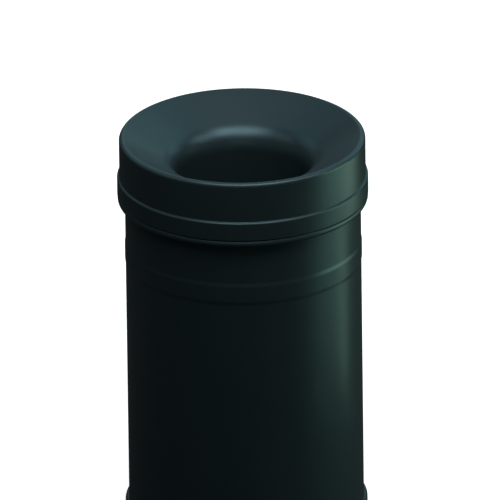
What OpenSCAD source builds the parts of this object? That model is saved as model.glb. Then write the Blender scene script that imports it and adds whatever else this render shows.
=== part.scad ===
// Round ash and litter bin with a self-extinguishing head.
// A rolled steel body stands on a plinth hoop with rubber feet. A spun head with a
// funnel and a throat lifts off it, and a galvanised liner with a bail lifts out.
// Millimetres, +Z up, origin on the ground at the centre of the base.

/* [Overall] */
// Height from the ground to the top of the head
height = 520; // [480:10:600]
// Height of the rubber feet under the plinth hoop
foot_h = 4; // [3:0.5:6]
// Running gap where a curved face rests on another piece
rest_gap = 0.3; // [0.2:0.1:0.6]

/* [Body shell] */
// Outside diameter of the rolled wall
body_d = 296; // [280:2:320]
// Sheet thickness of the wall
body_t = 1; // [0.8:0.1:1.4]
// Outside diameter of the hollow curl round the mouth
curl_d = 10.1; // [8.1:0.5:11.1]
// Height of the swaged band
band_h = 30; // [20:1:50]
// Distance from the mouth down to the swaged band
band_drop = 62; // [50:1:90]
// How far the swaged band stands proud
band_out = 0.8; // [0.4:0.1:1.2]
// Height of each sloping shoulder of the band
band_slope = 5; // [4:0.5:8]
// Bend radius of the band's shoulders
band_round = 12; // [6:1:20]
// Width of the lock seam down the back
seam_w = 9; // [6:1:12]
// How far the lock seam stands into the body
seam_in = 1; // [0.6:0.1:1.2]
// Width of the groove that shows outside along the seam
seam_groove_w = 1.4; // [1:0.1:2]
// Depth of that groove
seam_groove = 0.4; // [0.2:0.1:0.5]

/* [Plinth hoop] */
// Height of the hoop
hoop_h = 24; // [18:1:30]
// Sheet thickness of the hoop
hoop_t = 1.2; // [1:0.1:1.5]
// How far the hoop stands out from the wall
hoop_out = 4.5; // [4:0.5:8]
// Outside radius of the hoop's upper edge
hoop_round = 3.6; // [2.6:0.2:3.8]
// Outside radius of the hoop's lower edge
hoop_foot_round = 2.4; // [2:0.2:3]
// Width of the foot flange inside the bottom pan
flange_w = 18; // [17:1:24]

/* [Rubber feet] */
// Diameter of a foot
foot_d = 16; // [12:1:16]
// Diameter of its neck
foot_neck_d = 6; // [5:0.5:8]
// How far its locking bulb stands out beyond the neck
foot_bulb_out = 1.2; // [0.8:0.1:2]
// Height of the bulb above the flange
foot_bulb_h = 3; // [2:0.5:5]
// Clearance round the neck
foot_gap = 0.1; // [0.05:0.05:0.3]

/* [Bottom pan] */
// Sheet thickness of the pan
pan_t = 1; // [0.8:0.1:1.4]
// Height of the pan's shoulder above its lower edge
pan_h = 15; // [13:1:20]
// Depth of the nest that centres the liner
nest_depth = 4; // [3:0.5:6]
// Clearance round the liner in its nest
nest_gap = 1.2; // [0.8:0.2:2.4]
// Width of the sloping side of the nest
nest_slope = 3; // [2:0.5:5]
// Diameter of the raised stiffening plateau
plateau_d = 170; // [120:5:200]
// Height of the plateau
plateau_h = 3; // [2:0.5:4]
// Bend radius in the pan
pan_round = 2; // [1:0.5:2]

/* [Head] */
// Height of the head outside the body
head_h = 75.5; // [70:0.5:90]
// Sheet thickness of the spun head
head_t = 1.5; // [1.2:0.1:1.8]
// How far the skirt stands out beyond the curl
skirt_over = 0.4; // [0.2:0.1:2]
// Height of the skirt up to its shoulder
skirt_h = 22.6; // [18:0.2:30]
// How far the upper band is stepped in from the skirt
step_in = 3; // [3:0.2:6]
// Rise of the shoulder across the step
step_rise = 0.8; // [0.4:0.2:1.2]
// Bend radius of the shoulder at mid sheet
step_round = 1.6; // [1:0.1:1.6]
// Outside radius of the rim
rim_round = 4.75; // [4:0.25:8]
// Slope of the funnel below the horizontal
funnel_angle = 28.5; // [24:0.5:32]
// Diameter of the throat
throat_d = 164; // [140:2:190]
// Radius where the funnel turns down into the throat
throat_round = 36; // [20:1:45]
// Depth of the throat's lower edge below the rim
throat_depth = 110; // [90:1:120]
// Radius at mid sheet of the safe edge curled round the throat
lip_round = 3; // [2.5:0.5:5]

/* [Head seat ring] */
// Sheet thickness of the ring
seat_t = 1.2; // [1:0.1:1.5]
// Height of the leg welded inside the skirt
seat_leg_h = 14; // [8:1:18]
// Depth of the spigot inside the mouth
spigot_h = 20; // [14:1:26]
// Clearance between the spigot and the wall
spigot_gap = 0.8; // [0.5:0.1:1.5]
// Depth of the tapered lead-in at the spigot's end
lead_h = 6; // [4:1:9]
// How far the lead-in tapers
lead_in = 2; // [1:0.5:3]
// Bend radius of the ring at mid sheet
seat_round = 1.6; // [1:0.1:2]

/* [Liner] */
// Gap between the liner's wall and the body's wall
liner_gap = 17; // [16:1:24]
// Sheet thickness of the liner
liner_t = 0.8; // [0.6:0.1:1.2]
// Free height between the liner's rim and the throat's edge
headroom = 32; // [28:1:60]
// Diameter of the wire in the liner's rim
rim_wire_d = 4; // [3:0.5:5]
// Clearance between the wire and the sheet rolled round it
wire_gap = 0.05; // [0.05:0.05:0.2]
// Height of the liner's floor above its lower edge
floor_rise = 8; // [6:1:14]
// Bend radius at the edge of the liner's floor
floor_round = 2.5; // [1.5:0.5:4]
// Height of the hoop round the liner's foot
liner_hoop_h = 18; // [12:1:30]
// Thickness of that hoop
liner_hoop_t = 1.2; // [1:0.1:1.6]
// Number of stiffening beads rolled in the liner's wall
beads = 2; // [1:1:4]
// How far a bead stands out
bead_out = 1.6; // [1:0.2:3]
// Half the height of a bead
bead_half = 5; // [4:0.5:8]

/* [Ears] */
// Width of an ear
ear_w = 20; // [16:1:24]
// Thickness of an ear
ear_t = 1.5; // [1.2:0.1:2]
// Length of the plate riveted to the wall
ear_plate = 34; // [30:1:44]
// Height over which the ear steps out past the rim
ear_step = 7; // [6:0.5:10]
// Diameter of a rivet's shank
rivet_d = 5; // [4:0.5:5]
// Diameter of a rivet's head
rivet_head_d = 9; // [8:0.5:10]
// Height of a rivet's head
rivet_head_h = 1.8; // [1.4:0.1:2.4]
// Distance between the two rivets of an ear
rivet_pitch = 13; // [11:1:16]
// Clearance round a rivet
rivet_gap = 0.05; // [0.05:0.05:0.2]

/* [Bail] */
// Diameter of the bail's wire
bail_wire_d = 5; // [4:0.5:6]
// Side clearance between the bail and the ears
bail_gap = 1.2; // [0.8:0.1:2]
// Clearance of the bail's end in the ear
pivot_gap = 0.1; // [0.05:0.05:0.4]
// How far the peened end stands out beyond the wire
peen_out = 1.6; // [1:0.2:2.4]
// Thickness of the peened end
peen_h = 1.5; // [1:0.1:2]
// Diameter of the grip sleeve
grip_d = 8.5; // [8:0.5:11]
// Length of the grip sleeve along the bail
grip_len = 110; // [80:5:140]
// Clearance between the grip sleeve and the wire
grip_gap = 0.1; // [0.05:0.05:0.3]

/* [Hidden] */

paint = "darkslategray";
zinc = "lightsteelblue";
rubber = "dimgray";

$fn = 96;
// Flats in the outline of one bend, and of one rolled curl
bend_steps = 8;
curl_steps = 24;

// Radii of the body and the plinth hoop
body_r = body_d / 2;
body_in = body_r - body_t;
hoop_r = body_r + hoop_out;
hoop_mid = hoop_r - hoop_t / 2;
pan_edge = body_in - pan_t;
flange_in = pan_edge - flange_w;
foot_ring = flange_in + flange_w / 2;

// Levels of the body, from the ground up
body_z = foot_h + hoop_t;
hoop_top = foot_h + hoop_h;
pan_top = body_z + pan_h;
nest_z = pan_top - nest_depth;
skirt_z = height - head_h;
mouth_z = skirt_z - rest_gap;
curl_z = mouth_z - curl_d / 2;
band_top = mouth_z - band_drop;
band_z = band_top - band_h;
spigot_z = skirt_z - spigot_h;

// Rolled curls at mid sheet, and how far round they go
curl_mid = (curl_d - body_t) / 2;
curl_sweep = -315;
lip_sweep = 270;

// The head at mid sheet
skirt_r = body_in + curl_d + skirt_over;
skirt_mid = skirt_r - head_t / 2;
crown_mid = skirt_mid - step_in;
shoulder_z = skirt_z + skirt_h;
rim_mid = rim_round - head_t / 2;
// A bend turns from straight up to the funnel's slope, and its corner lies above the rim
rim_turn = 90 + funnel_angle;
rim_corner_z = height - rim_round + rim_mid * tan(rim_turn / 2);
throat_mid = throat_d / 2 + head_t / 2;
throat_corner_z = rim_corner_z - (crown_mid - throat_mid) * tan(funnel_angle);
throat_edge_z = height - throat_depth;
lip_z = throat_edge_z + lip_round + head_t / 2;

// The seat ring at mid sheet
seat_leg_mid = skirt_r - head_t - seat_t / 2;
spigot_mid = body_in - spigot_gap - seat_t / 2;

// The liner
liner_r = body_in - liner_gap;
liner_in = liner_r - liner_t;
liner_mid = liner_r - liner_t / 2;
liner_z = nest_z;
liner_top = throat_edge_z - headroom;
liner_hoop_r = liner_r + liner_hoop_t;
floor_z = liner_z + floor_rise;
wire_curl_mid = rim_wire_d / 2 + wire_gap + liner_t / 2;
wire_curl_out = wire_curl_mid + liner_t / 2;
wire_z = liner_top - wire_curl_out;
wire_r = liner_mid + wire_curl_mid;
wire_curl_sweep = -300;
bead_round = 4;
bead_pitch = (liner_top - liner_z) / (beads + 1);
nest_mid = liner_hoop_r + nest_gap + pan_t / 2;

// The ears and the bail
ear_in = wire_r + wire_curl_out + rest_gap;
ear_out = ear_in + ear_t;
ear_step_top = wire_z - wire_curl_out - rest_gap;
ear_step_z = ear_step_top - ear_step;
ear_foot_z = ear_step_z - ear_plate;
ear_round = 2;
pivot_z = liner_top + rest_gap + grip_d / 2;
rivet_top_z = ear_step_z - rivet_head_d / 2 - 2;
bail_r = ear_in - bail_gap - bail_wire_d / 2;
peen_x = ear_out + rest_gap;
grip_angle = grip_len / bail_r * 180 / PI;

// The point of a row [radius, height, bend radius]
function spot(row) = [row[0], row[1]];

// The direction from one point to another, one unit long
function heading(from, to) = (to - from) / norm(to - from);

// A direction turned a quarter to the left
function left_of(v) = [-v[1], v[0]];

// The angle from direction u to direction v, positive to the left
function turn(u, v) = atan2(u[0] * v[1] - u[1] * v[0], u * v);

// A vector turned by an angle
function spun(v, angle) = [
    v[0] * cos(angle) - v[1] * sin(angle),
    v[0] * sin(angle) + v[1] * cos(angle)
];

// A list of points in the other order
function reversed(points) = [for (i = [len(points) - 1 : -1 : 0]) points[i]];

// The headings into and out of row i
function way_in(rows, i) = heading(spot(rows[max(i, 1) - 1]), spot(rows[max(i, 1)]));
function way_out(rows, i) = way_in(rows, min(i + 1, len(rows) - 1));

// A row of corners moved sideways by half a sheet, with its bends still concentric
function moved(rows, side) = [
    for (i = [0 : len(rows) - 1])
        let (
            u = way_in(rows, i),
            v = way_out(rows, i),
            out = (left_of(u) + left_of(v)) / (1 + u * v) * side
        )
        [rows[i][0] + out[0], rows[i][1] + out[1], rows[i][2] - sign(turn(u, v)) * side]
];

// The arc that rounds corner i
function bend(rows, i) =
    let (
        u = way_in(rows, i),
        angle = turn(u, way_out(rows, i)),
        start = spot(rows[i]) - u * rows[i][2] * tan(abs(angle) / 2),
        centre = start + left_of(u) * sign(angle) * rows[i][2]
    )
    [for (k = [0 : bend_steps]) centre + spun(start - centre, angle * k / bend_steps)];

// One face of a sheet that follows the rows
function face(rows) = [
    for (i = [0 : len(rows) - 1])
        each (i == 0 || i == len(rows) - 1 ? [spot(rows[i])] : bend(rows, i))
];

// The same face carried on round the curl at the sheet's end
function curl(rows, side, radius, sweep) =
    let (
        last = len(rows) - 1,
        u = way_in(rows, last),
        centre = spot(rows[last]) + left_of(u) * sign(sweep) * radius,
        start = spot(rows[last]) + left_of(u) * side
    )
    [for (k = [1 : curl_steps]) centre + spun(start - centre, sweep * k / curl_steps)];

// Section of a sheet: rows are its mid line, and a sweep rolls its end into a curl
module section(rows, sheet, radius = 0, sweep = 0) {
    half = sheet / 2;
    end_left = sweep == 0 ? [] : curl(rows, half, radius, sweep);
    end_right = sweep == 0 ? [] : curl(rows, -half, radius, sweep);
    polygon(concat(
        face(moved(rows, half)),
        end_left,
        reversed(concat(face(moved(rows, -half)), end_right))
    ));
}

// A band of the wall at the back: between two radii, a width along the wall, two levels
module back_strip(inner, outer, width, low, high) {
    angle = width / outer * 180 / PI;
    rotate([0, 0, 90 - angle / 2])
        translate([0, 0, low])
            rotate_extrude(angle = angle)
                translate([inner, 0])
                    square([outer - inner, high - low]);
}

// Rolled wall with a swaged band, a hollow curl round the mouth and a lock seam
module body_shell() {
    wall_mid = body_r - body_t / 2;
    rows = [
        [wall_mid, body_z, 0],
        [wall_mid, band_z, band_round],
        [wall_mid + band_out, band_z + band_slope, band_round],
        [wall_mid + band_out, band_top - band_slope, band_round],
        [wall_mid, band_top, band_round],
        [wall_mid, curl_z, 0]
    ];
    seam_low = pan_top + body_t;
    seam_high = spigot_z - seam_w;
    bite = body_t / 3;
    color(paint)
        difference() {
            union() {
                rotate_extrude()
                    section(rows, body_t, curl_mid, curl_sweep);
                back_strip(body_in - seam_in, body_in + bite, seam_w, seam_low, seam_high);
            }
            for (piece = [[hoop_top + 1, band_z - band_slope], [band_top + band_slope, seam_high]])
                back_strip(body_r - seam_groove, body_r + 1, seam_groove_w, piece[0], piece[1]);
        }
}

// Pressed bottom, with a nest for the liner and a stiffening plateau
module bottom_pan() {
    half = pan_t / 2;
    plateau_r = plateau_d / 2;
    rows = [
        [body_in - half, body_z, 0],
        [body_in - half, pan_top - half, pan_round],
        [nest_mid + nest_slope, pan_top - half, pan_round],
        [nest_mid, nest_z - half, pan_round],
        [plateau_r + plateau_h, nest_z - half, pan_round],
        [plateau_r, nest_z + plateau_h - half, pan_round],
        [0, nest_z + plateau_h - half, 0]
    ];
    color(paint)
        rotate_extrude()
            section(rows, pan_t);
}

// Copies at the four feet: front right, back right, back left, front left
module at_foot(i) {
    rotate([0, 0, 90 * i - 45])
        translate([foot_ring, 0, 0])
            children();
}

// Roll-formed hoop round the base, with the flange that the body and the feet share
module plinth_hoop() {
    half = hoop_t / 2;
    rows = [
        [flange_in, foot_h + half, 0],
        [hoop_mid, foot_h + half, hoop_foot_round - half],
        [hoop_mid, hoop_top - half, hoop_round - half],
        [body_r, hoop_top - half, 0]
    ];
    color(paint)
        difference() {
            rotate_extrude()
                section(rows, hoop_t);
            for (i = [0 : 3])
                at_foot(i)
                    translate([0, 0, foot_h - hoop_t])
                        cylinder(d = foot_neck_d + 2 * foot_gap, h = 3 * hoop_t);
        }
}

// Push-in rubber foot
module foot(i) {
    pad_r = foot_d / 2;
    neck_r = foot_neck_d / 2;
    bulb_r = neck_r + foot_bulb_out;
    edge = 1;
    color(rubber)
        at_foot(i)
            rotate_extrude()
                polygon([
                    [0, 0],
                    [pad_r - edge, 0],
                    [pad_r, edge],
                    [pad_r, foot_h],
                    [neck_r, foot_h],
                    [neck_r, body_z],
                    [bulb_r, body_z],
                    [neck_r, body_z + foot_bulb_h],
                    [0, body_z + foot_bulb_h]
                ]);
}

// Spun head in one sheet: skirt, shoulder, upper band, rim, funnel, throat and safe edge
module head_shell() {
    rows = [
        [skirt_mid, skirt_z, 0],
        [skirt_mid, shoulder_z, step_round],
        [crown_mid, shoulder_z + step_rise, step_round],
        [crown_mid, rim_corner_z, rim_mid],
        [throat_mid, throat_corner_z, throat_round - head_t / 2],
        [throat_mid, lip_z, 0]
    ];
    color(paint)
        rotate_extrude()
            section(rows, head_t, lip_round, lip_sweep);
}

// Ring inside the skirt: a welded leg, a seat on the body's curl, and a spigot in its mouth
module head_seat_ring() {
    rows = [
        [seat_leg_mid, skirt_z + seat_leg_h, 0],
        [seat_leg_mid, skirt_z + seat_t / 2, seat_round],
        [spigot_mid, skirt_z + seat_t / 2, seat_round],
        [spigot_mid, spigot_z + lead_h, seat_round],
        [spigot_mid - lead_in, spigot_z, 0]
    ];
    color(paint)
        rotate_extrude()
            section(rows, seat_t);
}

// Places its child on the right side, or on the left one
module on_side(right) {
    rotate([0, 0, right ? 0 : 180])
        children();
}

// Holes for the two rivets of one ear, or shanks through them
module rivet_shanks(diameter, inner, outer) {
    for (i = [0, 1])
        translate([inner, 0, rivet_top_z - i * rivet_pitch])
            rotate([0, 90, 0])
                cylinder(d = diameter, h = outer - inner);
}

// Rolled wall of the liner with beads, and a rim rolled round its wire
module liner_shell() {
    beads_rows = [
        for (i = [1 : beads])
            let (level = liner_z + i * bead_pitch)
            each [
                [liner_mid, level - bead_half, bead_round],
                [liner_mid + bead_out, level, bead_round],
                [liner_mid, level + bead_half, bead_round]
            ]
    ];
    rows = concat([[liner_mid, liner_z, 0]], beads_rows, [[liner_mid, wire_z, 0]]);
    color(zinc)
        difference() {
            rotate_extrude()
                section(rows, liner_t, wire_curl_mid, wire_curl_sweep);
            for (right = [false, true])
                on_side(right)
                    rivet_shanks(rivet_d + 2 * rivet_gap, liner_in - liner_t, liner_r + liner_t);
        }
}

// Wire in the liner's rim
module liner_rim_wire() {
    color(zinc)
        rotate_extrude()
            translate([wire_r, wire_z])
                circle(d = rim_wire_d);
}

// Dished floor of the liner
module liner_bottom() {
    half = liner_t / 2;
    rows = [
        [liner_in - half, liner_z, 0],
        [liner_in - half, floor_z - half, floor_round],
        [0, floor_z - half, 0]
    ];
    color(zinc)
        rotate_extrude()
            section(rows, liner_t);
}

// Hoop round the liner's foot
module liner_foot_hoop() {
    color(zinc)
        rotate_extrude()
            translate([liner_r, liner_z])
                square([liner_hoop_t, liner_hoop_h]);
}

// Ear that carries one end of the bail
module ear(right) {
    plate_mid = liner_r + ear_t / 2;
    eye_mid = ear_in + ear_t / 2;
    top_z = pivot_z + ear_w;
    rows = [
        [plate_mid, ear_foot_z - ear_w, 0],
        [plate_mid, ear_step_z, ear_round],
        [eye_mid, ear_step_top, ear_round],
        [eye_mid, top_z, 0]
    ];
    half_angle = atan(ear_w / liner_r);
    reach = 2 * ear_out;
    color(zinc)
        on_side(right)
            difference() {
                intersection() {
                    rotate([0, 0, -half_angle])
                        rotate_extrude(angle = 2 * half_angle)
                            section(rows, ear_t);
                    rotate([90, 0, 90])
                        linear_extrude(reach)
                            union() {
                                translate([0, pivot_z])
                                    circle(d = ear_w);
                                translate([-ear_w / 2, ear_foot_z + ear_w / 2])
                                    square([ear_w, pivot_z - ear_foot_z - ear_w / 2]);
                                translate([0, ear_foot_z + ear_w / 2])
                                    circle(d = ear_w);
                            }
                }
                translate([liner_in, 0, pivot_z])
                    rotate([0, 90, 0])
                        cylinder(d = bail_wire_d + 2 * pivot_gap, h = reach - liner_in);
                rivet_shanks(rivet_d + 2 * rivet_gap, liner_in, reach);
            }
}

// Four rivets, with a cone head outside and a flat one inside
module ear_rivets() {
    // The inner head lies on the hollow of the wall, so its rim is what touches
    inner_face = sqrt(liner_in * liner_in - rivet_head_d * rivet_head_d / 4);
    outer_face = liner_r + ear_t;
    color(zinc)
        for (right = [false, true], i = [0, 1])
            on_side(right)
                translate([0, 0, rivet_top_z - i * rivet_pitch])
                    rotate([0, 90, 0]) {
                        translate([0, 0, inner_face - rivet_head_h / 2])
                            cylinder(d = rivet_head_d, h = rivet_head_h / 2);
                        translate([0, 0, inner_face - rivet_head_h / 4])
                            cylinder(d = rivet_d, h = outer_face - inner_face + rivet_head_h / 2);
                        translate([0, 0, outer_face])
                            cylinder(d1 = rivet_head_d, d2 = rivet_d, h = rivet_head_h);
                    }
}

// Wire bail lying on the liner's rim, with its ends peened outside the ears
module bail_wire() {
    half = bail_wire_d / 2;
    color(zinc)
        translate([0, 0, pivot_z]) {
            rotate_extrude(angle = 180)
                translate([bail_r, 0])
                    circle(r = half);
            for (right = [false, true])
                on_side(right) {
                    translate([bail_r, 0, 0])
                        sphere(r = half);
                    rotate([0, 90, 0]) {
                        translate([0, 0, bail_r])
                            cylinder(r = half, h = peen_x + peen_h - bail_r);
                        translate([0, 0, peen_x])
                            cylinder(r = half + peen_out, h = peen_h);
                    }
                }
        }
}

// Sleeve that makes the grip
module bail_grip() {
    color(rubber)
        translate([0, 0, pivot_z])
            rotate([0, 0, 90 - grip_angle / 2])
                rotate_extrude(angle = grip_angle)
                    translate([bail_r, 0])
                        difference() {
                            circle(d = grip_d);
                            circle(d = bail_wire_d + 2 * grip_gap);
                        }
}

body_shell();
bottom_pan();
plinth_hoop();
foot(0);  // front_right_foot
foot(1);  // back_right_foot
foot(2);  // back_left_foot
foot(3);  // front_left_foot
head_shell();
head_seat_ring();
liner_shell();
liner_rim_wire();
liner_bottom();
liner_foot_hoop();
ear(true);  // right_ear
ear(false);  // left_ear
ear_rivets();
bail_wire();
bail_grip();
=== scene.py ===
"""Looks of a round ash and litter bin with a self-extinguishing head.

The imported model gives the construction. This script makes each sheet-metal piece again as a
smooth spun mesh of the same size, dresses every piece, and sets the floor, lights and camera.
"""

import logging
import math
from collections.abc import Sequence
from dataclasses import dataclass
from enum import Enum

import bmesh
import bpy
from mathutils import Matrix, Vector


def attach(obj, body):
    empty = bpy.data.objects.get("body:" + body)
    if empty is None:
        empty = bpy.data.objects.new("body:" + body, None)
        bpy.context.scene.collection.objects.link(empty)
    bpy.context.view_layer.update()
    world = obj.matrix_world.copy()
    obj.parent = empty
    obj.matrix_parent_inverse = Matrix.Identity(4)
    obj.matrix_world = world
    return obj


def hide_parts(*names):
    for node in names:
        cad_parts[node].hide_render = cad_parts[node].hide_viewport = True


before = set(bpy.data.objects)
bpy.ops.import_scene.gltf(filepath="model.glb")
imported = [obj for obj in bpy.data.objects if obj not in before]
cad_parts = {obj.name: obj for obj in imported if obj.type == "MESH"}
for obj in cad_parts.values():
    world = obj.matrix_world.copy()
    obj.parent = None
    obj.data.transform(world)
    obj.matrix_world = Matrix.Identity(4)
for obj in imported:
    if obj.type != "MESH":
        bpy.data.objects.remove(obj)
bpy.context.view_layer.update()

LOG = logging.getLogger("ash_bin")
MM = 0.001

# Steps of a full turn round the bin's axis, and of a wire's own section
AROUND = 180
WIRE_SIDES = 24
# A bend takes one step for each of these angles, and never fewer than so many
BEND_STEP = math.radians(6.0)
BEND_STEPS_LEAST = 3
# A straight run takes one step for each of these lengths, in millimetres
RUN_STEP = 12.0
# Vertices nearer than this are one, in metres
MERGE = 1e-6
# Raw edges of sheet are broken this wide, in millimetres, where they turn more than the angle
RAW_EDGE = 0.2
EDGE_STEPS = 2
SHARP_TURN = math.radians(50.0)
# How strongly large faces steer the normals beside them, from 1 to 100
FACE_WEIGHT = 100
# A noise texture seldom leaves this range
NOISE_LOW = 0.3
NOISE_HIGH = 0.7


# ------------------------------------------------------------ colours and nodes


def srgb(code: str) -> tuple[float, float, float, float]:
    """Turns a written sRGB colour into the linear one that shaders use.

    Args:
        code: Six hex digits, with or without a leading #.

    Returns:
        Linear red, green, blue and an alpha of 1.
    """
    digits = code.lstrip("#")
    values = [int(digits[i : i + 2], 16) / 255 for i in (0, 2, 4)]
    linear = [v / 12.92 if v <= 0.04045 else ((v + 0.055) / 1.055) ** 2.4 for v in values]
    return (linear[0], linear[1], linear[2], 1.0)


def add_node(
    tree: bpy.types.NodeTree,
    kind: str,
    inputs: dict[str | int, object] | None = None,
    **settings: object,
) -> bpy.types.Node:
    """Adds a node with its settings, its values and its links.

    Args:
        tree: The node tree that gets it.
        kind: Type name of the node.
        inputs: Value for each input, by name or number; a socket as the value makes a link.
        **settings: Properties of the node itself.

    Returns:
        The new node.
    """
    node = tree.nodes.new(kind)
    for name, value in settings.items():
        setattr(node, name, value)
    for key, value in (inputs or {}).items():
        if isinstance(value, bpy.types.NodeSocket):
            tree.links.new(value, node.inputs[key])
        else:
            node.inputs[key].default_value = value
    return node


def new_tree(name: str) -> tuple[bpy.types.Material, bpy.types.NodeTree]:
    """Makes an empty node material.

    Args:
        name: Name of the material.

    Returns:
        The material and its cleared tree.
    """
    material = bpy.data.materials.new(name)
    material.use_nodes = True
    material.node_tree.nodes.clear()
    return material, material.node_tree


def per_metre(size_mm: float) -> float:
    """Gives the texture scale at which one cell of a pattern is that many millimetres wide."""
    return 1.0 / (size_mm * MM)


# --------------------------------------------------------------------- finishes


@dataclass(frozen=True)
class PowderCoat:
    """Satin polyester powder coat, sprayed and stoved on steel.

    To the eye it is nearly black with a green-blue cast, its highlights are soft and carry the
    same cast, and up close the skin has the shallow ripple of stoved powder.
    """

    name: str = "powder_coat_satin"
    colour: str = "#192326"
    lift_colour: str = "#1D272A"
    highlight_tint: str = "#BCF1FF"
    roughness: float = 0.34
    roughness_spread: float = 0.02
    specular: float = 0.5
    # Ripple of stoved powder, about 1 mm from crest to crest and a few microns deep
    ripple_mm: float = 1.1
    ripple_depth_mm: float = 0.004
    ripple_detail: float = 2.0
    ripple_rough: float = 0.45
    # Slow drift of film thickness over the hand-sprayed surface
    drift_mm: float = 90.0
    drift_detail: float = 3.0

    def build(self) -> bpy.types.Material:
        """Makes the material.

        Returns:
            A material that reads object coordinates.
        """
        material, tree = new_tree(self.name)
        place = add_node(tree, "ShaderNodeTexCoord").outputs["Object"]
        ripple = add_node(
            tree,
            "ShaderNodeTexNoise",
            {
                "Vector": place,
                "Scale": per_metre(self.ripple_mm),
                "Detail": self.ripple_detail,
                "Roughness": self.ripple_rough,
            },
        )
        drift = add_node(
            tree,
            "ShaderNodeTexNoise",
            {"Vector": place, "Scale": per_metre(self.drift_mm), "Detail": self.drift_detail},
        )
        colour = add_node(
            tree,
            "ShaderNodeMix",
            {"Factor": drift.outputs["Fac"], "A": srgb(self.colour), "B": srgb(self.lift_colour)},
            data_type="RGBA",
        )
        gloss = add_node(
            tree,
            "ShaderNodeMapRange",
            {
                "Value": drift.outputs["Fac"],
                "From Min": NOISE_LOW,
                "From Max": NOISE_HIGH,
                "To Min": self.roughness - self.roughness_spread,
                "To Max": self.roughness + self.roughness_spread,
            },
        )
        bump = add_node(
            tree,
            "ShaderNodeBump",
            {"Height": ripple.outputs["Fac"], "Distance": self.ripple_depth_mm * MM},
        )
        shader = add_node(
            tree,
            "ShaderNodeBsdfPrincipled",
            {
                "Base Color": colour.outputs["Result"],
                "Roughness": gloss.outputs["Result"],
                "Specular IOR Level": self.specular,
                "Specular Tint": srgb(self.highlight_tint),
                "Normal": bump.outputs["Normal"],
            },
        )
        add_node(tree, "ShaderNodeOutputMaterial", {"Surface": shader.outputs["BSDF"]})
        return material


@dataclass(frozen=True)
class GalvanisedSteel:
    """Hot-dip galvanised sheet, rolled and left bare.

    To the eye it is a pale grey metal broken into spangles, flat crystals that each mirror the
    light at their own brightness and dullness.
    """

    name: str = "galvanised_steel_spangled"
    light: str = "#CBD0D2"
    dark: str = "#A3A9AC"
    # The grey carbonate skin of zinc scatters the rest of the light
    metallic: float = 0.62
    roughness: float = 0.38
    roughness_spread: float = 0.1
    # Spangles of ordinary galvanised sheet are 6 to 12 mm across
    spangle_mm: float = 9.0
    # Zinc runs and handling marks
    cloud_mm: float = 45.0
    cloud_detail: float = 4.0
    # Fine unevenness of the frozen zinc
    pit_mm: float = 1.4
    pit_detail: float = 2.0
    pit_depth_mm: float = 0.01

    def build(self) -> bpy.types.Material:
        """Makes the material.

        Returns:
            A material that reads object coordinates.
        """
        material, tree = new_tree(self.name)
        place = add_node(tree, "ShaderNodeTexCoord").outputs["Object"]
        spangle = add_node(
            tree,
            "ShaderNodeTexVoronoi",
            {"Vector": place, "Scale": per_metre(self.spangle_mm)},
        )
        shade = add_node(tree, "ShaderNodeSeparateColor", {"Color": spangle.outputs["Color"]})
        cloud = add_node(
            tree,
            "ShaderNodeTexNoise",
            {"Vector": place, "Scale": per_metre(self.cloud_mm), "Detail": self.cloud_detail},
        )
        pits = add_node(
            tree,
            "ShaderNodeTexNoise",
            {"Vector": place, "Scale": per_metre(self.pit_mm), "Detail": self.pit_detail},
        )
        mixed = add_node(
            tree,
            "ShaderNodeMath",
            {0: shade.outputs["Red"], 1: cloud.outputs["Fac"]},
            operation="MULTIPLY",
        )
        colour = add_node(
            tree,
            "ShaderNodeMix",
            {"Factor": mixed.outputs[0], "A": srgb(self.dark), "B": srgb(self.light)},
            data_type="RGBA",
        )
        gloss = add_node(
            tree,
            "ShaderNodeMapRange",
            {
                "Value": shade.outputs["Green"],
                "To Min": self.roughness - self.roughness_spread,
                "To Max": self.roughness + self.roughness_spread,
            },
        )
        bump = add_node(
            tree,
            "ShaderNodeBump",
            {"Height": pits.outputs["Fac"], "Distance": self.pit_depth_mm * MM},
        )
        shader = add_node(
            tree,
            "ShaderNodeBsdfPrincipled",
            {
                "Base Color": colour.outputs["Result"],
                "Metallic": self.metallic,
                "Roughness": gloss.outputs["Result"],
                "Normal": bump.outputs["Normal"],
            },
        )
        add_node(tree, "ShaderNodeOutputMaterial", {"Surface": shader.outputs["BSDF"]})
        return material


@dataclass(frozen=True)
class MouldedSkin:
    """Matt moulded or extruded skin of rubber or soft PVC.

    To the eye it is a dull near-black with a fine eroded grain that kills any sharp reflection.
    """

    name: str
    colour: str
    worn_colour: str
    roughness: float
    # Grain of the eroded mould or die
    grain_mm: float
    grain_depth_mm: float
    grain_detail: float = 3.0
    # Scuffs are this many grains across
    scuff_grains: float = 12.0
    scuff_detail: float = 4.0

    def build(self) -> bpy.types.Material:
        """Makes the material.

        Returns:
            A material that reads object coordinates.
        """
        material, tree = new_tree(self.name)
        place = add_node(tree, "ShaderNodeTexCoord").outputs["Object"]
        grain = add_node(
            tree,
            "ShaderNodeTexNoise",
            {"Vector": place, "Scale": per_metre(self.grain_mm), "Detail": self.grain_detail},
        )
        scuff = add_node(
            tree,
            "ShaderNodeTexNoise",
            {
                "Vector": place,
                "Scale": per_metre(self.grain_mm * self.scuff_grains),
                "Detail": self.scuff_detail,
            },
        )
        colour = add_node(
            tree,
            "ShaderNodeMix",
            {"Factor": scuff.outputs["Fac"], "A": srgb(self.colour), "B": srgb(self.worn_colour)},
            data_type="RGBA",
        )
        bump = add_node(
            tree,
            "ShaderNodeBump",
            {"Height": grain.outputs["Fac"], "Distance": self.grain_depth_mm * MM},
        )
        shader = add_node(
            tree,
            "ShaderNodeBsdfPrincipled",
            {
                "Base Color": colour.outputs["Result"],
                "Roughness": self.roughness,
                "Normal": bump.outputs["Normal"],
            },
        )
        add_node(tree, "ShaderNodeOutputMaterial", {"Surface": shader.outputs["BSDF"]})
        return material


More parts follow.
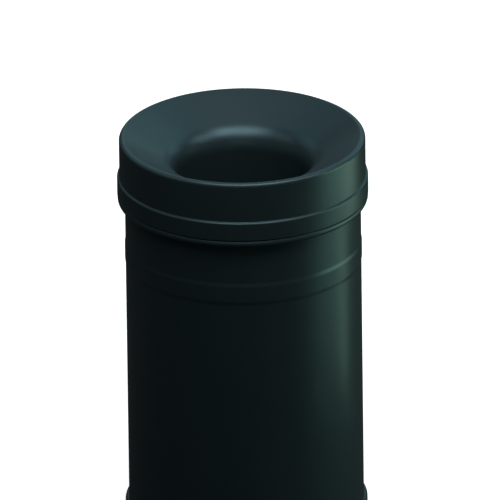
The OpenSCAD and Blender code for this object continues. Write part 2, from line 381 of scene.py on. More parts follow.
class Finish(Enum):
    """The finishes on the bin. Each name is a material slot of the record."""

    powder_coat = PowderCoat()
    galvanised_steel = GalvanisedSteel()
    rubber = MouldedSkin(
        "rubber_moulded",
        colour="#121313",
        worn_colour="#1E1F1F",
        roughness=0.72,
        grain_mm=0.8,
        grain_depth_mm=0.02,
    )
    grip_sleeve = MouldedSkin(
        "pvc_sleeve_extruded",
        colour="#151617",
        worn_colour="#202122",
        roughness=0.5,
        grain_mm=1.2,
        grain_depth_mm=0.012,
    )


class Wardrobe:
    """Keeps one material for each finish."""

    def __init__(self) -> None:
        """Builds every finish once."""
        self.materials = {finish: finish.value.build() for finish in Finish}

    def coat(self, piece: bpy.types.Object, finish: Finish) -> bpy.types.Object:
        """Gives a piece its finish.

        Args:
            piece: The finished piece, in place.
            finish: What it is made of.

        Returns:
            The same piece.
        """
        piece.data.materials.clear()
        piece.data.materials.append(self.materials[finish])
        return piece

    def dress(self, piece: bpy.types.Object, finish: Finish, body: str) -> bpy.types.Object:
        """Gives a new piece its finish and the body it rides on.

        Args:
            piece: The finished piece, in place.
            finish: What it is made of.
            body: The moving body that carries it.

        Returns:
            The same piece.
        """
        self.coat(piece, finish)
        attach(piece, body)
        return piece

    def dress_stand_ins(
        self, stand_ins: Sequence[tuple[bpy.types.Object, str]], finish: Finish, body: str
    ) -> list[bpy.types.Object]:
        """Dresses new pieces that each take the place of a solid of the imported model.

        Args:
            stand_ins: Each piece with the name of its solid.
            finish: What they are made of.
            body: The moving body that carries them.

        Returns:
            The pieces.
        """
        for piece, node in stand_ins:
            self.dress(piece, finish, body)
            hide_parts(node)
        return [piece for piece, _ in stand_ins]

    def dress_nodes(self, nodes: Sequence[str], finish: Finish) -> list[bpy.types.Object]:
        """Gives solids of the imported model, which ride already, their finish.

        Args:
            nodes: Names of the solids.
            finish: What they are made of.

        Returns:
            The solids' objects.
        """
        return [self.coat(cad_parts[node], finish) for node in nodes]


# ------------------------------------------------------------- spun sheet metal


@dataclass(frozen=True)
class Corner:
    """A corner of a sheet's mid line, in millimetres.

    Attributes:
        radius: Distance from the bin's axis.
        height: Height above the ground.
        bend: Bend radius at mid sheet, or 0 at an end.
    """

    radius: float
    height: float
    bend: float = 0.0

    @property
    def point(self) -> Vector:
        """The corner in the plane y = 0, in metres."""
        return Vector((self.radius, 0.0, self.height)) * MM


@dataclass(frozen=True)
class Roll:
    """A curl that ends a sheet.

    Attributes:
        radius: Radius at mid sheet, in millimetres.
        sweep: Angle in degrees; a positive one turns left.
    """

    radius: float
    sweep: float


@dataclass(frozen=True)
class Sheet:
    """A round piece pressed, rolled or spun from sheet, in millimetres.

    Attributes:
        corners: The mid line, corner by corner.
        thickness: Thickness of the sheet.
        roll: The curl at the end of the mid line, if there is one.
    """

    corners: Sequence[Corner]
    thickness: float
    roll: Roll | None = None

    def trace(self, bm: bmesh.types.BMesh) -> None:
        """Draws the mid line: straight runs are extruded and bends are spun.

        Args:
            bm: The mesh that gets the line, in the plane y = 0.
        """
        points = [corner.point for corner in self.corners]
        tip = bmesh.ops.create_vert(bm, co=points[0])["vert"][0]
        for i in range(1, len(points)):
            way = (points[i] - points[i - 1]).normalized()
            if i < len(points) - 1:
                onward = (points[i + 1] - points[i]).normalized()
                angle = math.atan2(way.x * onward.z - way.z * onward.x, way.dot(onward))
                bend = self.corners[i].bend * MM
                tip = self._run(bm, tip, points[i] - way * bend * math.tan(abs(angle) / 2))
                tip = self._bend(bm, tip, way, bend, angle)
            else:
                tip = self._run(bm, tip, points[i])
                if self.roll:
                    self._bend(bm, tip, way, self.roll.radius * MM, math.radians(self.roll.sweep))

    def revolve(self, name: str) -> bpy.types.Object:
        """Turns the mid line round the axis and gives it its thickness.

        Args:
            name: Name of the piece.

        Returns:
            The piece, in place.
        """
        bm = bmesh.new()
        self.trace(bm)
        piece = spun(bm, name)
        thicken(piece, self.thickness)
        return piece

    @staticmethod
    def _run(bm: bmesh.types.BMesh, tip: bmesh.types.BMVert, end: Vector) -> bmesh.types.BMVert:
        """Extrudes the tip to a point in even steps, so that later shading stays true.

        Args:
            bm: The mesh that holds the line.
            tip: The line's last vertex.
            end: Where the run ends.

        Returns:
            The line's new last vertex.
        """
        start = tip.co.copy()
        steps = max(1, math.ceil((end - start).length / (RUN_STEP * MM)))
        for step in range(1, steps + 1):
            tip = bmesh.ops.extrude_vert_indiv(bm, verts=[tip])["verts"][0]
            tip.co = start.lerp(end, step / steps)
        return tip

    @staticmethod
    def _bend(
        bm: bmesh.types.BMesh,
        tip: bmesh.types.BMVert,
        way: Vector,
        radius: float,
        angle: float,
    ) -> bmesh.types.BMVert:
        """Spins the tip round the centre of a bend.

        Args:
            bm: The mesh that holds the line.
            tip: The line's last vertex.
            way: Direction of the line at the tip.
            radius: Radius of the bend in metres.
            angle: Angle of the bend in radians; a positive one turns left.

        Returns:
            The line's new last vertex.
        """
        left = Vector((-way.z, 0.0, way.x))
        made = bmesh.ops.spin(
            bm,
            geom=[tip],
            cent=tip.co + left * math.copysign(radius, angle),
            axis=(0.0, -1.0, 0.0),
            angle=angle,
            steps=max(BEND_STEPS_LEAST, math.ceil(abs(angle) / BEND_STEP)),
        )
        return next(e for e in made["geom_last"] if isinstance(e, bmesh.types.BMVert))


def spun(bm: bmesh.types.BMesh, name: str) -> bpy.types.Object:
    """Turns a section right round the bin's axis.

    Args:
        bm: The mesh that holds the section, in the plane y = 0; it is freed.
        name: Name of the piece.

    Returns:
        The new object, linked to the scene.
    """
    bmesh.ops.spin(
        bm,
        geom=bm.verts[:] + bm.edges[:],
        cent=(0.0, 0.0, 0.0),
        axis=(0.0, 0.0, 1.0),
        angle=2 * math.pi,
        steps=AROUND,
        use_merge=True,
    )
    bmesh.ops.remove_doubles(bm, verts=bm.verts[:], dist=MERGE)
    bmesh.ops.recalc_face_normals(bm, faces=bm.faces[:])
    return finished(bm, name)


def finished(bm: bmesh.types.BMesh, name: str) -> bpy.types.Object:
    """Turns a mesh under construction into a smooth object at the origin.

    Args:
        bm: The mesh, which is freed.
        name: Name of the piece.

    Returns:
        The new object, linked to the scene.
    """
    mesh = bpy.data.meshes.new(name)
    bm.to_mesh(mesh)
    bm.free()
    mesh.shade_smooth()
    piece = bpy.data.objects.new(name, mesh)
    bpy.context.scene.collection.objects.link(piece)
    return piece


def thicken(piece: bpy.types.Object, thickness: float) -> None:
    """Gives a mid surface its sheet thickness, breaks its raw edges and steadies its shading.

    Args:
        piece: The piece, whose mesh is the sheet's mid surface.
        thickness: Thickness of the sheet in millimetres.
    """
    solid = piece.modifiers.new("sheet", "SOLIDIFY")
    solid.thickness = thickness * MM
    solid.offset = 0.0
    solid.use_even_offset = True
    break_edges(piece, RAW_EDGE)


def break_edges(piece: bpy.types.Object, width: float) -> None:
    """Rounds the sharp edges of a piece and weights its normals by face area.

    Args:
        piece: The piece.
        width: Width of the rounding in millimetres.
    """
    bevel = piece.modifiers.new("raw_edge", "BEVEL")
    bevel.width = width * MM
    bevel.segments = EDGE_STEPS
    bevel.limit_method = "ANGLE"
    bevel.angle_limit = SHARP_TURN
    bevel.harden_normals = False
    weighted = piece.modifiers.new("true_faces", "WEIGHTED_NORMAL")
    weighted.mode = "FACE_AREA"
    weighted.weight = FACE_WEIGHT
    weighted.keep_sharp = False


# ------------------------------------------------------------- sub-assemblies


@dataclass(frozen=True)
class Levels:
    """Sizes that the sub-assemblies share, in millimetres.

    Attributes:
        top: Height of the bin.
        foot: Height of the rubber feet under the hoop.
        head: Height of the head from its skirt's edge.
        wall: Outside radius of the body.
        sheet: Thickness of the body's sheet.
        curl: Diameter of the body's curl.
        rest: Gap between the seated head and the curl.
        hoop_sheet: Thickness of the plinth hoop.
        pan_height: Height of the pressed bottom over the wall's lower edge.
        nest_depth: Depth of the liner's nest in it.
        spigot_depth: Reach of the head's spigot below the skirt.
        throat_depth: Reach of the head's throat below the top.
        liner_gap: Gap between the liner and the body.
        liner_hoop: Thickness of the liner's foot hoop.
    """

    top: float = 520.0
    foot: float = 4.0
    head: float = 75.5
    wall: float = 148.0
    sheet: float = 1.0
    curl: float = 10.1
    rest: float = 0.3
    hoop_sheet: float = 1.2
    pan_height: float = 15.0
    nest_depth: float = 4.0
    spigot_depth: float = 20.0
    throat_depth: float = 110.0
    liner_gap: float = 17.0
    liner_hoop: float = 1.2

    @property
    def skirt(self) -> float:
        """Height of the skirt's lower edge."""
        return self.top - self.head

    @property
    def mouth(self) -> float:
        """Height of the top of the body's curl."""
        return self.skirt - self.rest

    @property
    def bore(self) -> float:
        """Inside radius of the body."""
        return self.wall - self.sheet

    @property
    def floor(self) -> float:
        """Height of the wall's lower edge."""
        return self.foot + self.hoop_sheet

    @property
    def pan_top(self) -> float:
        """Height of the pressed bottom's upper face."""
        return self.floor + self.pan_height

    @property
    def nest(self) -> float:
        """Height of the nest's floor, where the liner stands."""
        return self.pan_top - self.nest_depth

    @property
    def liner_radius(self) -> float:
        """Outside radius of the liner's wall."""
        return self.bore - self.liner_gap


@dataclass
class Body:
    """The painted body: rolled wall, pressed bottom, plinth hoop and rubber feet.

    Sizes are in millimetres and bends are at mid sheet.
    """

    levels: Levels
    wardrobe: Wardrobe
    body: str = "bin_body"
    # Plinth hoop: how far it stands out from the wall, its bends above and below, its flange
    hoop_height: float = 24.0
    hoop_out: float = 4.5
    hoop_bend: float = 3.0
    hoop_foot_bend: float = 1.8
    flange_width: float = 18.0
    # Swaged band: its drop below the mouth, its height, how far it stands out, and the height
    # and the bends of its two shoulders
    band_drop: float = 62.0
    band_height: float = 30.0
    band_out: float = 0.8
    band_slope: float = 5.0
    band_bend: float = 12.0
    # Turn of the curl round the mouth in degrees; a negative one rolls outwards
    curl_sweep: float = -315.0
    # Pressed bottom, with a nest for the liner and a plateau inside it
    pan_sheet: float = 1.0
    pan_bend: float = 2.0
    nest_gap: float = 1.2
    nest_slope: float = 3.0
    plateau_radius: float = 85.0
    plateau_height: float = 3.0
    # Fold of the lock seam inside the wall
    seam_width: float = 9.0
    seam_in: float = 1.0
    seam_edge: float = 0.3
    seam_rows: int = 24
    seam_steps: int = 4
    # Line of the lock seam outside, which stops short of the hoop and of the curl
    groove_width: float = 1.4
    groove_depth: float = 0.4
    groove_shoulder: float = 0.6
    groove_stop: float = 2.0
    # The wall's faces are cut for the line this far to each side
    groove_strip: float = 20.0
    feet: Sequence[str] = (
        "front_right_foot",
        "back_right_foot",
        "back_left_foot",
        "front_left_foot",
    )

    @property
    def band_top(self) -> float:
        """Height of the upper end of the swaged band."""
        return self.levels.mouth - self.band_drop

    def build(self) -> list[bpy.types.Object]:
        """Builds and dresses the body.

        Returns:
            Its pieces.
        """
        wall = self._wall()
        self._press_groove(wall)
        sheets = [(wall, "body_shell"), (self._pan(), "bottom_pan"), (self._hoop(), "plinth_hoop")]
        pieces = self.wardrobe.dress_stand_ins(sheets, Finish.powder_coat, self.body)
        pieces.append(self.wardrobe.dress(self._seam(), Finish.powder_coat, self.body))
        return pieces + self.wardrobe.dress_nodes(self.feet, Finish.rubber)

    def _wall(self) -> bpy.types.Object:
        """Makes the rolled wall with its swaged band and its curl.

        Returns:
            The wall, without the line of its seam.
        """
        middle = self.levels.wall - self.levels.sheet / 2
        band_top = self.band_top
        band_low = band_top - self.band_height
        curl = (self.levels.curl - self.levels.sheet) / 2
        corners = [
            Corner(middle, self.levels.floor),
            Corner(middle, band_low, self.band_bend),
            Corner(middle + self.band_out, band_low + self.band_slope, self.band_bend),
            Corner(middle + self.band_out, band_top - self.band_slope, self.band_bend),
            Corner(middle, band_top, self.band_bend),
            Corner(middle, self.levels.mouth - self.levels.curl / 2),
        ]
        return Sheet(corners, self.levels.sheet, Roll(curl, self.curl_sweep)).revolve("rolled_wall")

    def _pan(self) -> bpy.types.Object:
        """Makes the pressed bottom with the liner's nest.

        Returns:
            The bottom.
        """
        half = self.pan_sheet / 2
        top = self.levels.pan_top - half
        nest = top - self.levels.nest_depth
        nest_radius = self.levels.liner_radius + self.levels.liner_hoop + self.nest_gap + half
        corners = [
            Corner(self.levels.bore - half, self.levels.floor),
            Corner(self.levels.bore - half, top, self.pan_bend),
            Corner(nest_radius + self.nest_slope, top, self.pan_bend),
            Corner(nest_radius, nest, self.pan_bend),
            Corner(self.plateau_radius + self.plateau_height, nest, self.pan_bend),
            Corner(self.plateau_radius, nest + self.plateau_height, self.pan_bend),
            Corner(0.0, nest + self.plateau_height),
        ]
        return Sheet(corners, self.pan_sheet).revolve("pressed_bottom")

    def _hoop(self) -> bpy.types.Object:
        """Makes the roll-formed plinth hoop with its foot flange.

        Returns:
            The hoop.
        """
        half = self.levels.hoop_sheet / 2
        outside = self.levels.wall + self.hoop_out - half
        low = self.levels.foot + half
        high = self.levels.foot + self.hoop_height - half
        flange = self.levels.bore - self.pan_sheet - self.flange_width
        corners = [
            Corner(flange, low),
            Corner(outside, low, self.hoop_foot_bend),
            Corner(outside, high, self.hoop_bend),
            Corner(self.levels.wall, high),
        ]
        return Sheet(corners, self.levels.hoop_sheet).revolve("plinth_hoop_rolled")

    def _press_groove(self, wall: bpy.types.Object) -> None:
        """Presses the line of the lock seam into the back of the wall, below and above the band.

        Args:
            wall: The wall, whose mesh is the sheet's mid surface.
        """
        half = self.groove_width / 2
        soft = half + self.groove_shoulder
        bm = bmesh.new()
        bm.from_mesh(wall.data)
        for cut in (-soft, -half, half, soft):
            faces = [f for f in bm.faces if near_seam(f.calc_center_median(), self.groove_strip)]
            edges = {e for f in faces for e in f.edges}
            verts = {v for f in faces for v in f.verts}
            bmesh.ops.bisect_plane(
                bm,
                geom=[*faces, *edges, *verts],
                plane_co=(cut * MM, 0.0, 0.0),
                plane_no=(1.0, 0.0, 0.0),
            )
        hoop_top = self.levels.foot + self.hoop_height
        band_low = self.band_top - self.band_height - self.band_slope
        curl_low = self.levels.mouth - self.levels.curl
        reaches = (
            (hoop_top + self.groove_stop, band_low),
            (self.band_top + self.band_slope, curl_low - self.groove_stop),
        )
        pressed = [
            v
            for v in bm.verts
            if near_seam(v.co, half + self.groove_shoulder / 2)
            and any(low * MM < v.co.z < high * MM for low, high in reaches)
        ]
        bmesh.ops.translate(bm, verts=pressed, vec=(0.0, -self.groove_depth * MM, 0.0))
        bm.to_mesh(wall.data)
        bm.free()
        wall.data.shade_smooth()

    def _seam(self) -> bpy.types.Object:
        """Makes the fold of the lock seam on the inside of the wall, at the back.

        Returns:
            The fold, a curved bar.
        """
        low = self.levels.pan_top + self.levels.sheet
        high = self.levels.skirt - self.levels.spigot_depth - self.seam_width
        middle = self.levels.bore - self.seam_in / 2
        angle = self.seam_width / self.levels.bore
        bm = bmesh.new()
        # The grid is 1 m square until it is scaled to the bar's depth and height
        bmesh.ops.create_grid(bm, x_segments=1, y_segments=self.seam_rows, size=0.5)
        bmesh.ops.scale(bm, verts=bm.verts[:], vec=(self.seam_in * MM, (high - low) * MM, 1.0))
        bmesh.ops.rotate(bm, verts=bm.verts[:], matrix=Matrix.Rotation(math.pi / 2, 3, "X"))
        bmesh.ops.translate(bm, verts=bm.verts[:], vec=Vector((middle, 0.0, (low + high) / 2)) * MM)
        start = Matrix.Rotation(math.pi / 2 - angle / 2, 3, "Z")
        bmesh.ops.rotate(bm, verts=bm.verts[:], matrix=start)
        bmesh.ops.spin(
            bm,
            geom=bm.faces[:] + bm.edges[:] + bm.verts[:],
            axis=(0.0, 0.0, 1.0),
            angle=angle,
            steps=self.seam_steps,
        )
        bmesh.ops.recalc_face_normals(bm, faces=bm.faces[:])
        piece = finished(bm, "lock_seam_fold")
        break_edges(piece, self.seam_edge)
        return piece


def near_seam(point: Vector, reach: float) -> bool:
    """Tells whether a point is at the back, within that many millimetres of the lock seam."""
    return point.y > 0 and abs(point.x) < reach * MM


@dataclass
class Head:
    """The lift-off head: spun shell and the ring that seats it on the body.

    Sizes are in millimetres, angles in degrees.
    """

    levels: Levels
    wardrobe: Wardrobe
    body: str = "head"
    sheet: float = 1.5
    # The skirt's radius passes the curl's by this much
    skirt_over: float = 0.4
    skirt_height: float = 22.6
    # Step from the skirt to the upper band
    step_in: float = 3.0
    step_rise: float = 0.8
    step_bend: float = 1.6
    # Outside radius of the rim's bend, and the funnel's fall from it
    rim_bend: float = 4.75
    funnel_slope: float = 28.5
    # Radius of the throat and of the bend that leads into it, on the sheet's seen face
    throat_radius: float = 82.0
    throat_bend: float = 36.0
    # Safe edge at the throat's lower end
    lip: Roll = Roll(radius=3.0, sweep=270.0)
    # Seat ring: its welded leg and its spigot, which leads in at the end
    ring_sheet: float = 1.2
    ring_leg: float = 14.0
    ring_bend: float = 1.6
    spigot_gap: float = 0.8
    lead: float = 6.0
    lead_in: float = 2.0

    @property
    def skirt_radius(self) -> float:
        """Outside radius of the skirt."""
        return self.levels.bore + self.levels.curl + self.skirt_over

    def build(self) -> list[bpy.types.Object]:
        """Builds and dresses the head.

        Returns:
            Its pieces.
        """
        sheets = [(self._shell(), "head_shell"), (self._ring(), "head_seat_ring")]
        return self.wardrobe.dress_stand_ins(sheets, Finish.powder_coat, self.body)

    def _shell(self) -> bpy.types.Object:
        """Makes the spun shell: skirt, shoulder, upper band, rim, funnel, throat and safe edge.

        Returns:
            The shell.
        """
        half = self.sheet / 2
        skirt = self.skirt_radius - half
        crown = skirt - self.step_in
        shoulder = self.levels.skirt + self.skirt_height
        rim = self.rim_bend - half
        turn = math.radians(90 + self.funnel_slope)
        rim_height = self.levels.top - self.rim_bend + rim * math.tan(turn / 2)
        throat = self.throat_radius + half
        fall = (crown - throat) * math.tan(math.radians(self.funnel_slope))
        lip_height = self.levels.top - self.levels.throat_depth + self.lip.radius + half
        corners = [
            Corner(skirt, self.levels.skirt),
            Corner(skirt, shoulder, self.step_bend),
            Corner(crown, shoulder + self.step_rise, self.step_bend),
            Corner(crown, rim_height, rim),
            Corner(throat, rim_height - fall, self.throat_bend - half),
            Corner(throat, lip_height),
        ]
        return Sheet(corners, self.sheet, self.lip).revolve("spun_head")

    def _ring(self) -> bpy.types.Object:
        """Makes the seat ring with its welded leg and its spigot.

        Returns:
            The ring.
        """
        half = self.ring_sheet / 2
        leg = self.skirt_radius - self.sheet - half
        seat = self.levels.skirt + half
        spigot = self.levels.bore - self.spigot_gap - half
        low = self.levels.skirt - self.levels.spigot_depth
        corners = [
            Corner(leg, self.levels.skirt + self.ring_leg),
            Corner(leg, seat, self.ring_bend),
            Corner(spigot, seat, self.ring_bend),
            Corner(spigot, low + self.lead, self.ring_bend),
            Corner(spigot - self.lead_in, low),
        ]
        return Sheet(corners, self.ring_sheet).revolve("seat_ring_rolled")


@dataclass
class Liner:
    """The galvanised liner: beaded wall, floor, rim wire, foot hoop, ears and rivets.

    Sizes are in millimetres.
    """

    levels: Levels
    wardrobe: Wardrobe
    body: str = "liner"
    sheet: float = 0.8
    # From the rolled rim to the throat's lip
    headroom: float = 32.0
    # Rim wire and the gap round it in its curl, whose sweep is in degrees
    wire: float = 4.0
    wire_gap: float = 0.05
    curl_sweep: float = -300.0
    floor_rise: float = 8.0
    floor_bend: float = 2.5
    hoop_height: float = 18.0
    # Stiffening beads, evenly spaced up the wall: how far they stand out, half their height
    beads: int = 2
    bead_out: float = 1.6
    bead_half: float = 5.0
    bead_bend: float = 4.0
    fittings: Sequence[str] = ("right_ear", "left_ear", "ear_rivets")

    @property
    def middle(self) -> float:
        """Radius of the wall at mid sheet."""
        return self.levels.liner_radius - self.sheet / 2

    @property
    def top(self) -> float:
        """Height of the top of the rolled rim."""
        return self.levels.top - self.levels.throat_depth - self.headroom

    @property
    def curl(self) -> float:
        """Radius of the rim's curl at mid sheet."""
        return self.wire / 2 + self.wire_gap + self.sheet / 2

    @property
    def wire_height(self) -> float:
        """Height of the middle of the rim wire."""
        return self.top - self.curl - self.sheet / 2

    def build(self) -> list[bpy.types.Object]:
        """Builds and dresses the liner.

        Returns:
            Its pieces.
        """
        made = [
            (self._wall(), "liner_shell"),
            (self._floor(), "liner_bottom"),
            (self._hoop(), "liner_foot_hoop"),
            (self._rim_wire(), "liner_rim_wire"),
        ]
        pieces = self.wardrobe.dress_stand_ins(made, Finish.galvanised_steel, self.body)
        return pieces + self.wardrobe.dress_nodes(self.fittings, Finish.galvanised_steel)

    def _wall(self) -> bpy.types.Object:
        """Makes the rolled wall with its beads and its rolled rim.

        Returns:
            The wall.
        """
        foot = self.levels.nest
        pitch = (self.top - foot) / (self.beads + 1)
        corners = [Corner(self.middle, foot)]
        for i in range(1, self.beads + 1):
            level = foot + i * pitch
            corners += [
                Corner(self.middle, level - self.bead_half, self.bead_bend),
                Corner(self.middle + self.bead_out, level, self.bead_bend),
                Corner(self.middle, level + self.bead_half, self.bead_bend),
            ]
        corners.append(Corner(self.middle, self.wire_height))
        return Sheet(corners, self.sheet, Roll(self.curl, self.curl_sweep)).revolve("liner_wall")

    def _floor(self) -> bpy.types.Object:
        """Makes the dished floor.

        Returns:
            The floor.
        """
        half = self.sheet / 2
        foot = self.levels.nest
        edge = self.levels.liner_radius - self.sheet - half
        level = foot + self.floor_rise - half
        corners = [Corner(edge, foot), Corner(edge, level, self.floor_bend), Corner(0.0, level)]
        return Sheet(corners, self.sheet).revolve("liner_floor")

    def _hoop(self) -> bpy.types.Object:
        """Makes the hoop round the foot.

        Returns:
            The hoop.
        """
        middle = self.levels.liner_radius + self.levels.liner_hoop / 2
        foot = self.levels.nest
        corners = [Corner(middle, foot), Corner(middle, foot + self.hoop_height)]
        return Sheet(corners, self.levels.liner_hoop).revolve("liner_hoop")

    def _rim_wire(self) -> bpy.types.Object:
        """Makes the wire inside the rolled rim.

        Returns:
            The wire, a closed ring.
        """
        bm = bmesh.new()
        radius = self.wire / 2 * MM
        bmesh.ops.create_circle(bm, cap_ends=False, radius=radius, segments=WIRE_SIDES)
        bmesh.ops.rotate(bm, verts=bm.verts[:], matrix=Matrix.Rotation(math.pi / 2, 3, "X"))
        centre = Vector((self.middle + self.curl, 0.0, self.wire_height)) * MM
        bmesh.ops.translate(bm, verts=bm.verts[:], vec=centre)
        return spun(bm, "rim_wire")


@dataclass
class Bail:
    """The wire bail and its grip sleeve."""

    wardrobe: Wardrobe

    def build(self) -> list[bpy.types.Object]:
        """Dresses the bail.

        Returns:
            Its pieces.
        """
        wire = self.wardrobe.dress_nodes(("bail_wire",), Finish.galvanised_steel)
        return wire + self.wardrobe.dress_nodes(("bail_grip",), Finish.grip_sleeve)


# ----------------------------------------------------------------------- studio


class Light(Enum):
    """The colours of the studio's light."""

    WHITE = "#FFFFFF"
    SKY = "#B9F7FF"
    GLASS_GREEN = "#D4FFE2"


@dataclass(frozen=True)
class SoftBox:
    """A rectangular studio lamp that faces a point on the bin's axis.

    Attributes:
        name: Name of the lamp.
        azimuth: Degrees round the axis, from the camera's side to the right.
        elevation: Degrees above the horizontal, seen from the point it faces.
        size: Width and height of the lamp in metres.
        luminance: Brightness of its face, where 1 looks white.
        light: Colour of its light.
        height: Height in metres of the point it faces, most often in the head.
        distance: Metres from that point.
    """

    name: str
    azimuth: float
    elevation: float
    size: tuple[float, float]
    luminance: float
    light: Light = Light.WHITE
    height: float = 0.47
    distance: float = 1.9

    def build(self) -> bpy.types.Object:
        """Hangs the lamp.

        Returns:
            The lamp's object.
        """
        lamp = bpy.data.lights.new(self.name, "AREA")
        lamp.shape = "RECTANGLE"
        lamp.size, lamp.size_y = self.size
        lamp.color = srgb(self.light.value)[:3]
        # A flat lamp of luminance 1 sends out pi watts from each square metre
        lamp.energy = math.pi * self.size[0] * self.size[1] * self.luminance
        round_axis = math.radians(self.azimuth)
        above = math.radians(self.elevation)
        level = math.cos(above)
        outward = Vector(
            (math.sin(round_axis) * level, -math.cos(round_axis) * level, math.sin(above))
        )
        place = Vector((0.0, 0.0, self.height)) + outward * self.distance
        turn = outward.to_track_quat("Z", "Y").to_matrix().to_4x4()
        hung = bpy.data.objects.new(self.name, lamp)
        hung.matrix_world = Matrix.Translation(place) @ turn
        hung.visible_camera = False
        bpy.context.scene.collection.objects.link(hung)
        return hung


@dataclass
class Studio:
    """Pale floor, pale surroundings, soft lamps and the camera, in metres and degrees."""

    floor_radius: float = 4.0
    # Brightness of the surroundings to scattered light
    ambient: float = 0.06
    # Share of the white surroundings that shows in gloss
    gloss_share: float = 0.01
    floor_grey: str = "#C9CBCC"
    # To all but the camera the floor is dark felt, which keeps the bin's front dark
    felt_grey: str = "#2B2C2C"
    # Light of its own that the floor shows: full far away and less round the bin,
    # where it leaves room for the shadow
    floor_glow: float = 1.0
    floor_glow_near: float = 0.75
    floor_sides: int = 96
    # Distance of the lamps that draw the bright strip down the right side
    close_lamps: float = 0.55
    # The camera looks down this steeply and leans this far about its line of sight
    camera_elevation: float = 23.62
    camera_roll: float = 0.722
    lens_mm: float = 1700.0
    sensor_mm: float = 36.0
    # The view ends at this many times the distance of the bin
    view_reach: float = 2.0
    # Width of the frame at the bin, and in pixels
    frame_width: float = 0.626
    frame_pixels: float = 500.0
    # Where the middle of the head's rim plane falls in the frame, in pixels
    rim_pixel: tuple[float, float] = (242.04, 135.54)
    rim_point: tuple[float, float, float] = (0.0, 0.0, 0.52)

    def build(self) -> None:
        """Sets the whole stage."""
        self._world()
        self._floor()
        self._camera()
        for lamp in self._lamps():
            lamp.build()
        bpy.context.scene.view_settings.view_transform = "Standard"

    def _lamps(self) -> list[SoftBox]:
        """Lists the lamps: wide ones all round, and three close by at the right.

        Returns:
            The lamps, not yet hung.
        """
        close = self.close_lamps
        green = Light.GLASS_GREEN
        return [
            SoftBox("key", 7.0, 72.0, (1.6, 0.86), 3.45),
            SoftBox("key_low", 3.0, 54.0, (1.4, 0.5), 1.8),
            SoftBox("key_heart", 2.0, 60.0, (0.7, 0.95), 1.7),
            SoftBox("key_right", 48.0, 58.0, (0.7, 0.8), 3.6),
            SoftBox("key_left", -42.0, 58.0, (0.7, 0.8), 2.2),
            SoftBox("top", 180.0, 78.0, (1.6, 1.3), 0.52),
            SoftBox("back", 175.0, 30.0, (1.4, 1.3), 0.55, Light.SKY),
            SoftBox("back_low", 178.0, 2.0, (1.2, 0.4), 0.3, height=0.3),
            SoftBox("back_right_high", 137.0, 55.0, (0.7, 0.6), 0.5, Light.SKY),
            SoftBox("back_left_high", -138.0, 55.0, (0.7, 0.6), 0.25, Light.SKY),
            SoftBox("back_right", 135.0, 28.0, (0.9, 1.4), 0.85, Light.SKY),
            SoftBox("back_left", -131.0, 34.0, (0.9, 1.0), 0.56, Light.SKY),
            SoftBox("right", 80.0, 42.0, (0.9, 0.7), 2.6),
            SoftBox("left", -80.0, 42.0, (0.9, 0.7), 0.8),
            SoftBox("front", 0.0, 15.0, (1.2, 0.6), 0.4),
            SoftBox("side_far", 90.0, 2.0, (0.8, 0.8), 2.85, green, 0.35, 1.4),
            SoftBox("side_strip", 100.0, 0.0, (0.12, 0.32), 1.15, green, 0.18, close),
            SoftBox("side_head", 108.0, 0.0, (0.14, 0.14), 1.5, green, 0.34, close),
            SoftBox("side_glow", 77.0, 0.0, (0.32, 0.32), 0.34, green, 0.18, close),
        ]

    def _mask(self, tree: bpy.types.NodeTree) -> bpy.types.NodeSocket:
        """Makes the share of white that each kind of ray meets.

        Args:
            tree: The node tree that gets the nodes.

        Returns:
            A socket that is 1 for what the camera sees, small for gloss and 0 for the rest.
        """
        path = add_node(tree, "ShaderNodeLightPath")
        gloss = add_node(
            tree,
            "ShaderNodeMath",
            {0: path.outputs["Is Glossy Ray"], 1: self.gloss_share},
            operation="MULTIPLY",
        )
        through = add_node(
            tree,
            "ShaderNodeMath",
            {0: path.outputs["Is Camera Ray"], 1: path.outputs["Is Transmission Ray"]},
            operation="MAXIMUM",
        )
        both = add_node(
            tree,
            "ShaderNodeMath",
            {0: through.outputs[0], 1: gloss.outputs[0]},
            operation="MAXIMUM",
        )
        return both.outputs[0]

    def _world(self) -> None:
        """Makes surroundings that are white to the camera and dim to everything else."""
        world = bpy.data.worlds.new("studio_surroundings")
        world.use_nodes = True
        tree = world.node_tree
        tree.nodes.clear()
        white = srgb("#FFFFFF")
        dim = add_node(tree, "ShaderNodeBackground", {"Color": white, "Strength": self.ambient})
        full = add_node(tree, "ShaderNodeBackground", {"Color": white, "Strength": 1.0})
        mixed = add_node(
            tree,
            "ShaderNodeMixShader",
            {0: self._mask(tree), 1: dim.outputs[0], 2: full.outputs[0]},
        )
        add_node(tree, "ShaderNodeOutputWorld", {"Surface": mixed.outputs[0]})
        bpy.context.scene.world = world

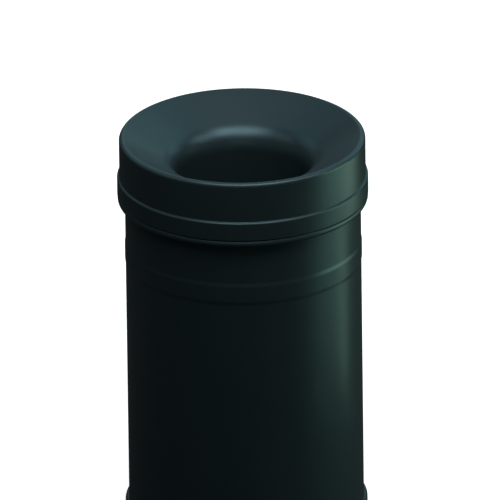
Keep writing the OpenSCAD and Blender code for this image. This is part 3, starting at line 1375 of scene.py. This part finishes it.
    def _floor(self) -> None:
        """Lays a pale round floor that is white to the camera and keeps a soft shadow."""
        bm = bmesh.new()
        bmesh.ops.create_circle(
            bm, cap_ends=True, radius=self.floor_radius, segments=self.floor_sides
        )
        floor = finished(bm, "studio_floor")
        material, tree = new_tree("floor_pale_card")
        place = add_node(tree, "ShaderNodeTexCoord").outputs["Object"]
        nearness = add_node(
            tree, "ShaderNodeTexGradient", {"Vector": place}, gradient_type="SPHERICAL"
        )
        glow = add_node(
            tree,
            "ShaderNodeMapRange",
            {
                "Value": nearness.outputs["Fac"],
                "To Min": self.floor_glow,
                "To Max": self.floor_glow_near,
            },
        )
        lit = add_node(tree, "ShaderNodeBsdfDiffuse", {"Color": srgb(self.floor_grey)})
        shine = add_node(
            tree,
            "ShaderNodeEmission",
            {"Color": srgb("#FFFFFF"), "Strength": glow.outputs["Result"]},
        )
        seen = add_node(tree, "ShaderNodeAddShader", {0: lit.outputs[0], 1: shine.outputs[0]})
        felt = add_node(tree, "ShaderNodeBsdfDiffuse", {"Color": srgb(self.felt_grey)})
        mixed = add_node(
            tree,
            "ShaderNodeMixShader",
            {0: self._mask(tree), 1: felt.outputs[0], 2: seen.outputs[0]},
        )
        add_node(tree, "ShaderNodeOutputMaterial", {"Surface": mixed.outputs[0]})
        floor.data.materials.append(material)

    def _camera(self) -> None:
        """Sets a long lens so that the rim's middle falls on its pixel."""
        elevation = math.radians(self.camera_elevation)
        back = Vector((0.0, -math.cos(elevation), math.sin(elevation)))
        level = Vector((1.0, 0.0, 0.0))
        upright = back.cross(level)
        turn = Matrix.Rotation(math.radians(-self.camera_roll), 3, back)
        right = turn @ level
        up = turn @ upright
        pixel = self.frame_width / self.frame_pixels
        across = (self.rim_pixel[0] - self.frame_pixels / 2) * pixel
        above = (self.frame_pixels / 2 - self.rim_pixel[1]) * pixel
        target = Vector(self.rim_point) - right * across - up * above
        distance = self.frame_width * self.lens_mm / self.sensor_mm
        camera = bpy.data.cameras.new("camera")
        camera.lens = self.lens_mm
        camera.sensor_width = self.sensor_mm
        camera.clip_end = distance * self.view_reach
        placed = bpy.data.objects.new("camera", camera)
        rotation = Matrix((right, up, back)).transposed().to_4x4()
        placed.matrix_world = Matrix.Translation(target + back * distance) @ rotation
        bpy.context.scene.collection.objects.link(placed)
        bpy.context.scene.camera = placed


# ------------------------------------------------------------------------- main


def report(group: str, pieces: Sequence[bpy.types.Object]) -> None:
    """Logs the pieces of one sub-assembly.

    Args:
        group: Name of the sub-assembly.
        pieces: Its pieces.
    """
    for piece in pieces:
        LOG.info("%s: %s with %d faces", group, piece.name, len(piece.data.polygons))


def main() -> None:
    """Builds the bin, sub-assembly by sub-assembly, and then its studio."""
    logging.basicConfig(level=logging.INFO, format="%(name)s: %(message)s")
    levels = Levels()
    wardrobe = Wardrobe()
    report("body", Body(levels, wardrobe).build())
    report("head", Head(levels, wardrobe).build())
    report("liner", Liner(levels, wardrobe).build())
    report("bail", Bail(wardrobe).build())
    Studio().build()


if __name__ == "__main__":
    main()
